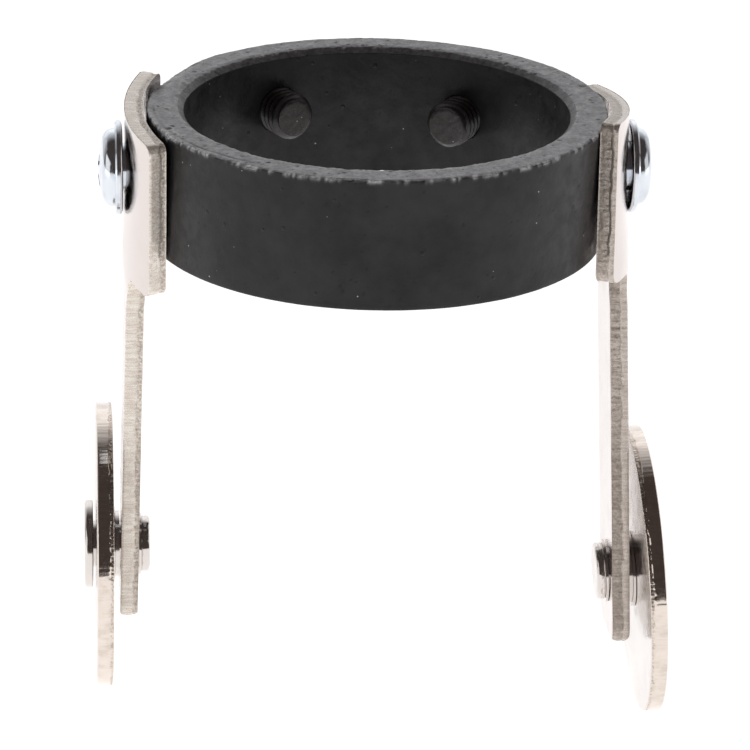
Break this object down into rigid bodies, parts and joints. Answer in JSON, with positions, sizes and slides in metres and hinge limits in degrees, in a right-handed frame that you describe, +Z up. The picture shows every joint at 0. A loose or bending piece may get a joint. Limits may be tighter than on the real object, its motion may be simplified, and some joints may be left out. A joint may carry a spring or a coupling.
{
  "type": "torch roller guide",
  "caption": "Clamp-on roller guide for a cutting torch: a black collar held by set screws, with steel brackets swinging from its sides and a plain disc wheel riveted to the foot of each.",
  "frame": {"origin": "centre of the collar's bore at half the collar's height", "axes": "+Z up along the bore, away from the wheels; +X towards the right-hand bracket; +Y towards the set screws"},
  "size_m": [0.0497, 0.0385, 0.054],
  "materials": {
    "collar_black": "moulded black, satin, pitted, with worn edges",
    "nickel_sheet": "bright nickel plate, with coarse sheared edges",
    "nickel_disc": "bright nickel plate, with a blanked rim",
    "nickel_rivet": "bright nickel plate",
    "zinc_screw": "bright clear zinc plate",
    "black_oxide": "black oxide on steel"
  },
  "bodies": {
    "collar": {"clamp_ring": "collar_black", "left_side_screw": "zinc_screw", "right_side_screw": "zinc_screw"},
    "left_bracket": {"left_bracket": "nickel_sheet", "left_rivet": "nickel_rivet", "left_spacer": "nickel_rivet", "left_wheel_washer": "nickel_rivet", "left_set_washer": "nickel_rivet"},
    "left_wheel": {"left_wheel": "nickel_disc"},
    "left_set_screw": {"left_set_screw": "black_oxide"},
    "right_bracket": {"right_bracket": "nickel_sheet", "right_rivet": "nickel_rivet", "right_spacer": "nickel_rivet", "right_wheel_washer": "nickel_rivet", "right_set_washer": "nickel_rivet"},
    "right_wheel": {"right_wheel": "nickel_disc"},
    "right_set_screw": {"right_set_screw": "black_oxide"}
  },
  "joints": [
    {"name": "left_bracket_swing", "type": "hinge", "parent": "collar", "child": "left_bracket", "pos_m": [-0.0193, -0.00027, 0.00015], "axis": [0.9999, 0.014, 0], "range_deg": [-11.15, 1.85]},
    {"name": "left_wheel_spin", "type": "hinge", "parent": "left_bracket", "child": "left_wheel", "pos_m": [-0.01984, 0.00262, -0.03543], "axis": [0.9999, 0.0147, -0.0087], "continuous": true},
    {"name": "right_bracket_swing", "type": "hinge", "parent": "collar", "child": "right_bracket", "pos_m": [0.0193, -0.00027, 0.00015], "axis": [0.9999, -0.014, 0], "range_deg": [-0.5, 12.5]},
    {"name": "right_wheel_spin", "type": "hinge", "parent": "right_bracket", "child": "right_wheel", "pos_m": [0.0204, -0.00402, -0.03535], "axis": [0.9977, -0.0069, 0.0668], "continuous": true},
    {"name": "left_set_screw_advance", "type": "slide", "parent": "collar", "child": "left_set_screw", "axis": [-0.4617, 0.887, 0], "range_m": [-0.0022, 0.00265]},
    {"name": "right_set_screw_advance", "type": "slide", "parent": "collar", "child": "right_set_screw", "axis": [0.5225, 0.8526, 0], "range_m": [-0.0022, 0.00265]}
  ]
}
